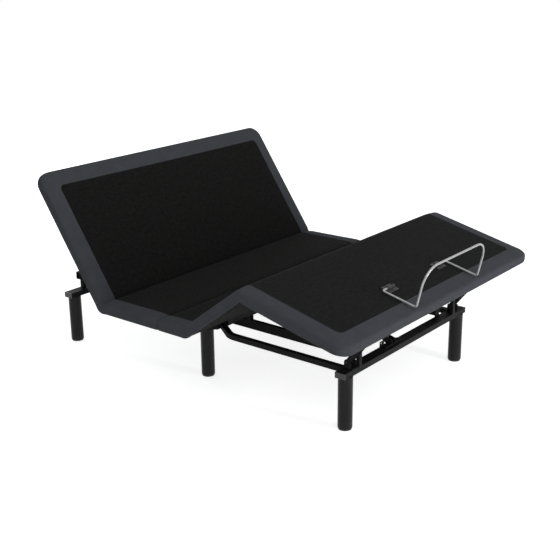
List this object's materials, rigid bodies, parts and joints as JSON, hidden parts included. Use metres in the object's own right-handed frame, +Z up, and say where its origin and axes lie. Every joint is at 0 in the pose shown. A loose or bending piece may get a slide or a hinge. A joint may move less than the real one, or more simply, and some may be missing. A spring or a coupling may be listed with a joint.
{
  "type": "adjustable bed base",
  "caption": "Adjustable bed base: upholstered back, seat, thigh and calf sections fold on a steel frame with round legs, linear actuators, foot links and a mattress retainer bar.",
  "frame": {"origin": "on the floor under the middle of the base's bounding box", "axes": "+X across the bed, +Y along the bed towards the head, +Z up"},
  "size_m": [1.524, 1.9041, 0.9254],
  "materials": {
    "frame_steel": "black powder coat",
    "leg_plastic": "black moulded plastic, slight sheen",
    "black_plastic": "black moulded plastic",
    "felt": "pressed felt",
    "zinc_steel": "zinc plated",
    "blackened_steel": "black zinc plating",
    "bracket_metal": "dark grey satin powder coat",
    "board": "black faced plywood",
    "charcoal_fabric": "charcoal knitted upholstery over foam",
    "black_fabric": "black non-woven cloth",
    "retainer_metal": "light grey satin powder coat"
  },
  "bodies": {
    "base": {"head_rail": "frame_steel", "foot_rail": "frame_steel", "rail_end_caps": "black_plastic", "head_side_tubes": "frame_steel", "foot_side_tubes": "frame_steel", "fold_cross_bars": "frame_steel", "inner_rails": "frame_steel", "inner_rail_brackets": "frame_steel", "fold_plates": "zinc_steel", "fold_bolts": "blackened_steel", "seat_bearers": "frame_steel", "bearer_uprights": "frame_steel", "foot_rest_posts": "frame_steel", "head_rest_bar": "frame_steel", "rest_pads": "felt", "legs": "leg_plastic", "leg_glides": "black_plastic", "leg_studs": "zinc_steel", "leg_gussets": "frame_steel", "actuator_clevises": "frame_steel", "pivot_pins": "blackened_steel", "link_brackets": "frame_steel", "control_box": "black_plastic", "power_supply": "black_plastic", "seat_boards": "board", "seat_covers": "charcoal_fabric", "seat_tops": "black_fabric", "seat_hinge_leaves": "zinc_steel", "fold_hinge_pins": "zinc_steel"},
    "back": {"back_board": "board", "back_cover": "charcoal_fabric", "back_top": "black_fabric", "back_frame": "frame_steel", "back_lever": "frame_steel", "back_hinge_leaves": "zinc_steel"},
    "thigh": {"thigh_board": "board", "thigh_cover": "charcoal_fabric", "thigh_top": "black_fabric", "thigh_frame": "frame_steel", "thigh_lever": "frame_steel", "thigh_hinge_leaves": "zinc_steel", "knee_hinge_pins": "zinc_steel"},
    "calf": {"calf_board": "board", "calf_cover": "charcoal_fabric", "calf_top": "black_fabric", "calf_frame": "frame_steel", "calf_hinge_leaves": "zinc_steel", "link_tracks": "zinc_steel", "retainer_brackets": "bracket_metal", "retainer_screws": "blackened_steel"},
    "retainer": {"retainer_bar": "retainer_metal"},
    "left_foot_link": {"left_link": "frame_steel"},
    "right_foot_link": {"right_link": "frame_steel"},
    "head_actuator": {"head_actuator_housing": "black_plastic", "head_actuator_motor": "black_plastic"},
    "head_rod": {"head_actuator_rod": "zinc_steel"},
    "foot_actuator": {"foot_actuator_housing": "black_plastic", "foot_actuator_motor": "black_plastic"},
    "foot_rod": {"foot_actuator_rod": "zinc_steel"}
  },
  "joints": [
    {"name": "back_hinge", "type": "hinge", "parent": "base", "child": "back", "pos_m": [0, 0.38111, 0.368], "axis": [1, 0, 0], "range_deg": [-55.5, 4.5]},
    {"name": "thigh_hinge", "type": "hinge", "parent": "base", "child": "thigh", "pos_m": [0, -0.11689, 0.368], "axis": [-1, 0, 0], "range_deg": [-37.3, 2.7]},
    {"name": "knee_hinge", "type": "hinge", "parent": "thigh", "child": "calf", "pos_m": [0, -0.415, 0.56744], "axis": [1, 0, 0], "range_deg": [-50.81, 3.69]},
    {"name": "left_link_pivot", "type": "hinge", "parent": "base", "child": "left_foot_link", "pos_m": [-0.416, -0.70529, 0.285], "axis": [-1, 0, 0], "range_deg": [-38.75, 2.81]},
    {"name": "right_link_pivot", "type": "hinge", "parent": "base", "child": "right_foot_link", "pos_m": [0.416, -0.70529, 0.285], "axis": [-1, 0, 0], "range_deg": [-38.75, 2.81]},
    {"name": "retainer_pivot", "type": "hinge", "parent": "calf", "child": "retainer", "pos_m": [0, -0.74931, 0.54632], "axis": [-1, 0, 0], "range_deg": [0, 110]},
    {"name": "head_actuator_pivot", "type": "hinge", "parent": "base", "child": "head_actuator", "pos_m": [0, 0.06511, 0.276], "axis": [1, 0, 0], "range_deg": [-2.07, 0.18]},
    {"name": "head_rod_slide", "type": "slide", "parent": "head_actuator", "child": "head_rod", "axis": [0, 0.9973, 0.0739], "range_m": [-0.07399, 0.00618]},
    {"name": "foot_actuator_pivot", "type": "hinge", "parent": "base", "child": "foot_actuator", "pos_m": [-0.1, -0.67389, 0.28], "axis": [1, 0, 0], "range_deg": [-1.92, 0.15]},
    {"name": "foot_rod_slide", "type": "slide", "parent": "foot_actuator", "child": "foot_rod", "axis": [0, 0.9999, 0.0152], "range_m": [-0.0044, 0.05826]}
  ],
  "couplings": [
    {"joint": "knee_hinge", "follows": "thigh_hinge", "ratio": 1.3619},
    {"joint": "left_link_pivot", "follows": "thigh_hinge", "ratio": 1.0385},
    {"joint": "right_link_pivot", "follows": "thigh_hinge", "ratio": 1.0385},
    {"joint": "head_actuator_pivot", "follows": "back_hinge", "ratio": 0.0371},
    {"joint": "head_rod_slide", "follows": "back_hinge", "m_per_rad": 0.076182},
    {"joint": "foot_actuator_pivot", "follows": "thigh_hinge", "ratio": 0.05128},
    {"joint": "foot_rod_slide", "follows": "thigh_hinge", "m_per_rad": -0.089192}
  ]
}
